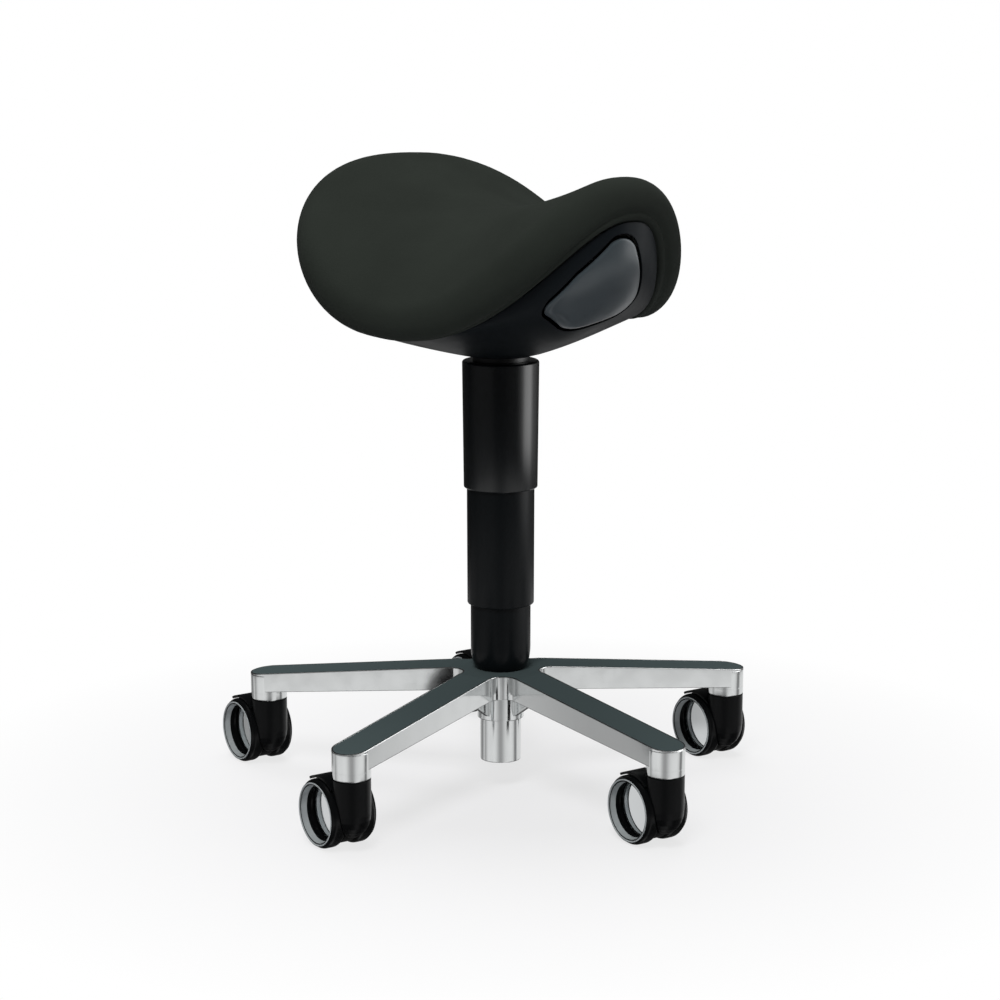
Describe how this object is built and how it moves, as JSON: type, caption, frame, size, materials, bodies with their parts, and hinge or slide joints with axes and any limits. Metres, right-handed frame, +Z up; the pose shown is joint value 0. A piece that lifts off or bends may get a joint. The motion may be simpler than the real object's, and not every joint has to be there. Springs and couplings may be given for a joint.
{
  "type": "saddle stool",
  "caption": "Swivelling height-adjustable saddle stool: upholstered saddle on a moulded shell, telescopic column, polished star base, twin-wheel castors.",
  "frame": {"origin": "on the floor under the middle of the column, which is the swivel axis", "axes": "+Z up along the column; -Y towards the narrow front of the saddle, where the height lever is; +X across the saddle, to the right of a rider who faces the front"},
  "size_m": [0.5166, 0.5193, 0.615],
  "materials": {
    "cast_aluminium": "polished die casting",
    "slate_coating": "matt slate-grey coating",
    "black_steel": "satin black coating",
    "bushing_plastic": "natural acetal",
    "bright_steel": "zinc plated",
    "bumper_rubber": "matt",
    "sleeve_plastic": "satin black moulding",
    "rod_chrome": "hard chrome",
    "pan_plastic": "glass-filled nylon",
    "shell_plastic": "fine-grained black moulding",
    "upholstery": "very dark warm-grey stretch cover over foam",
    "lever_plastic": "satin graphite",
    "castor_plastic": "black nylon",
    "tread_plastic": "black nylon tread",
    "rim_chrome": "bright plated"
  },
  "bodies": {
    "base": {"star_base": "cast_aluminium", "star_inlay": "slate_coating", "castor_sockets": "cast_aluminium", "standpipe": "black_steel", "guide_bushing": "bushing_plastic", "thrust_bearing": "bright_steel", "end_bumper": "bumper_rubber", "retaining_clip": "bright_steel", "sleeve_lower": "sleeve_plastic"},
    "middle_sleeve": {"sleeve_middle": "sleeve_plastic"},
    "rod": {"piston_rod": "rod_chrome"},
    "seat": {"gas_cylinder": "black_steel", "seat_mechanism": "black_steel", "actuator_pivot": "bright_steel", "seat_pan": "pan_plastic", "seat_shell": "shell_plastic", "seat_pad": "upholstery", "sleeve_upper": "sleeve_plastic", "lever_pivot": "bright_steel", "pan_screws": "bright_steel", "shell_screws": "bright_steel"},
    "paddle": {"lever_paddle": "lever_plastic"},
    "actuator": {"actuator_bar": "bright_steel"},
    "pin": {"release_pin": "bright_steel"},
    "castor_1": {"castor_1_stem": "bright_steel", "castor_1_housing": "castor_plastic", "castor_1_axle": "bright_steel"},
    "castor_1_left": {"castor_1_wheel_left": "tread_plastic", "castor_1_rim_left": "rim_chrome"},
    "castor_1_right": {"castor_1_wheel_right": "tread_plastic", "castor_1_rim_right": "rim_chrome"},
    "castor_2": {"castor_2_stem": "bright_steel", "castor_2_housing": "castor_plastic", "castor_2_axle": "bright_steel"},
    "castor_2_left": {"castor_2_wheel_left": "tread_plastic", "castor_2_rim_left": "rim_chrome"},
    "castor_2_right": {"castor_2_wheel_right": "tread_plastic", "castor_2_rim_right": "rim_chrome"},
    "castor_3": {"castor_3_stem": "bright_steel", "castor_3_housing": "castor_plastic", "castor_3_axle": "bright_steel"},
    "castor_3_left": {"castor_3_wheel_left": "tread_plastic", "castor_3_rim_left": "rim_chrome"},
    "castor_3_right": {"castor_3_wheel_right": "tread_plastic", "castor_3_rim_right": "rim_chrome"},
    "castor_4": {"castor_4_stem": "bright_steel", "castor_4_housing": "castor_plastic", "castor_4_axle": "bright_steel"},
    "castor_4_left": {"castor_4_wheel_left": "tread_plastic", "castor_4_rim_left": "rim_chrome"},
    "castor_4_right": {"castor_4_wheel_right": "tread_plastic", "castor_4_rim_right": "rim_chrome"},
    "castor_5": {"castor_5_stem": "bright_steel", "castor_5_housing": "castor_plastic", "castor_5_axle": "bright_steel"},
    "castor_5_left": {"castor_5_wheel_left": "tread_plastic", "castor_5_rim_left": "rim_chrome"},
    "castor_5_right": {"castor_5_wheel_right": "tread_plastic", "castor_5_rim_right": "rim_chrome"}
  },
  "joints": [
    {"name": "seat_swivel", "type": "hinge", "parent": "base", "child": "rod", "pos_m": [0, 0, 0.034], "axis": [0, 0, 1], "continuous": true},
    {"name": "seat_lift", "type": "slide", "parent": "rod", "child": "seat", "axis": [0, 0, 1], "range_m": [-0.126, 0.034]},
    {"name": "sleeve_lift", "type": "slide", "parent": "base", "child": "middle_sleeve", "axis": [0, 0, 1], "range_m": [-0.063, 0.017]},
    {"name": "paddle_pull", "type": "hinge", "parent": "seat", "child": "paddle", "pos_m": [0, -0.168, 0.537], "axis": [-1, 0, 0], "range_deg": [0, 12], "stiffness_Nm_per_rad": 0.6, "springref_deg": -28.65},
    {"name": "bar_press", "type": "hinge", "parent": "seat", "child": "actuator", "pos_m": [0, 0.068, 0.469], "axis": [1, 0, 0], "range_deg": [0, 2.4]},
    {"name": "pin_press", "type": "slide", "parent": "seat", "child": "pin", "axis": [0, 0, -1], "range_m": [0, 0.0028]},
    {"name": "castor_1_swivel", "type": "hinge", "parent": "base", "child": "castor_1", "pos_m": [0, -0.244, 0.0702], "axis": [0, 0, 1], "continuous": true},
    {"name": "castor_1_roll_left", "type": "hinge", "parent": "castor_1", "child": "castor_1_left", "pos_m": [0.00187, -0.21787, 0.0325], "axis": [0.9974, -0.0715, 0], "continuous": true},
    {"name": "castor_1_roll_right", "type": "hinge", "parent": "castor_1", "child": "castor_1_right", "pos_m": [0.00187, -0.21787, 0.0325], "axis": [0.9974, -0.0715, 0], "continuous": true},
    {"name": "castor_2_swivel", "type": "hinge", "parent": "base", "child": "castor_2", "pos_m": [0.23206, -0.0754, 0.0702], "axis": [0, 0, 1], "continuous": true},
    {"name": "castor_2_roll_left", "type": "hinge", "parent": "castor_2", "child": "castor_2_left", "pos_m": [0.23393, -0.04927, 0.0325], "axis": [0.9974, -0.0715, 0], "continuous": true},
    {"name": "castor_2_roll_right", "type": "hinge", "parent": "castor_2", "child": "castor_2_right", "pos_m": [0.23393, -0.04927, 0.0325], "axis": [0.9974, -0.0715, 0], "continuous": true},
    {"name": "castor_3_swivel", "type": "hinge", "parent": "base", "child": "castor_3", "pos_m": [0.14342, 0.1974, 0.0702], "axis": [0, 0, 1], "continuous": true},
    {"name": "castor_3_roll_left", "type": "hinge", "parent": "castor_3", "child": "castor_3_left", "pos_m": [0.14529, 0.22353, 0.0325], "axis": [0.9974, -0.0715, 0], "continuous": true},
    {"name": "castor_3_roll_right", "type": "hinge", "parent": "castor_3", "child": "castor_3_right", "pos_m": [0.14529, 0.22353, 0.0325], "axis": [0.9974, -0.0715, 0], "continuous": true},
    {"name": "castor_4_swivel", "type": "hinge", "parent": "base", "child": "castor_4", "pos_m": [-0.14342, 0.1974, 0.0702], "axis": [0, 0, 1], "continuous": true},
    {"name": "castor_4_roll_left", "type": "hinge", "parent": "castor_4", "child": "castor_4_left", "pos_m": [-0.14155, 0.22353, 0.0325], "axis": [0.9974, -0.0715, 0], "continuous": true},
    {"name": "castor_4_roll_right", "type": "hinge", "parent": "castor_4", "child": "castor_4_right", "pos_m": [-0.14155, 0.22353, 0.0325], "axis": [0.9974, -0.0715, 0], "continuous": true},
    {"name": "castor_5_swivel", "type": "hinge", "parent": "base", "child": "castor_5", "pos_m": [-0.23206, -0.0754, 0.0702], "axis": [0, 0, 1], "continuous": true},
    {"name": "castor_5_roll_left", "type": "hinge", "parent": "castor_5", "child": "castor_5_left", "pos_m": [-0.23019, -0.04927, 0.0325], "axis": [0.9974, -0.0715, 0], "continuous": true},
    {"name": "castor_5_roll_right", "type": "hinge", "parent": "castor_5", "child": "castor_5_right", "pos_m": [-0.23019, -0.04927, 0.0325], "axis": [0.9974, -0.0715, 0], "continuous": true}
  ],
  "couplings": [
    {"joint": "sleeve_lift", "follows": "seat_lift", "ratio": 0.5},
    {"joint": "bar_press", "follows": "paddle_pull", "ratio": 0.1919},
    {"joint": "pin_press", "follows": "paddle_pull", "m_per_rad": 0.01305}
  ]
}
